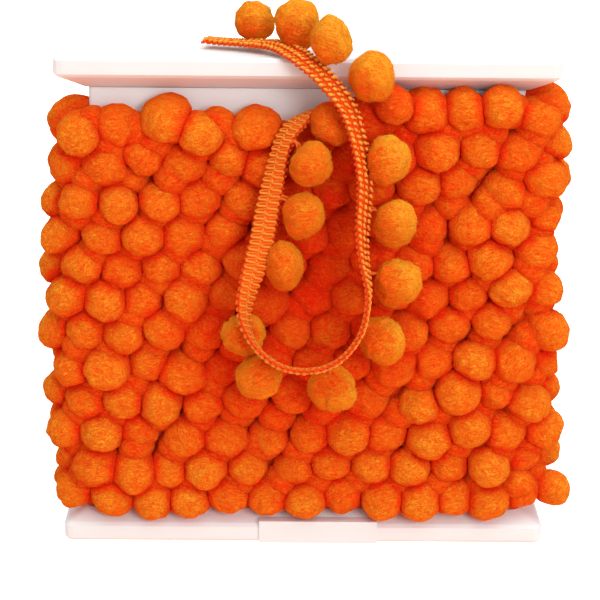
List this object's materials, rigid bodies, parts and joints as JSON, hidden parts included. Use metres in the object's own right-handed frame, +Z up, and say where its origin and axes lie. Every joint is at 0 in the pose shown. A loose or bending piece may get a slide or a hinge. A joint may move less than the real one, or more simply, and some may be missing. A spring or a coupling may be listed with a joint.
{
  "type": "pompom fringe trim on a flat spool",
  "caption": "Crocheted tape with a fringe of felted yarn pompoms, wound on a flat moulded spool, its free end hanging in a loop over the upper flange.",
  "frame": {"origin": "centre of the lower flange's flat underside, on the surface the spool stands on", "axes": "+X along the flanges from the viewer's left to right, +Y towards the back, +Z up from the lower flange to the upper one"},
  "size_m": [0.1329, 0.0487, 0.1351],
  "materials": {
    "moulded_plastic": "white injection-moulded plastic, softly matt",
    "felted_yarn": "soft orange yarn, trimmed and felted into pompoms",
    "tape_yarn": "smooth orange yarn, crocheted into a narrow tape"
  },
  "bodies": {
    "root": {"flange_bottom": "moulded_plastic", "flange_top": "moulded_plastic", "core_panel": "moulded_plastic", "wound_trim": "felted_yarn", "loose_fringe": "felted_yarn", "loose_tape": "tape_yarn"}
  },
  "joints": []
}
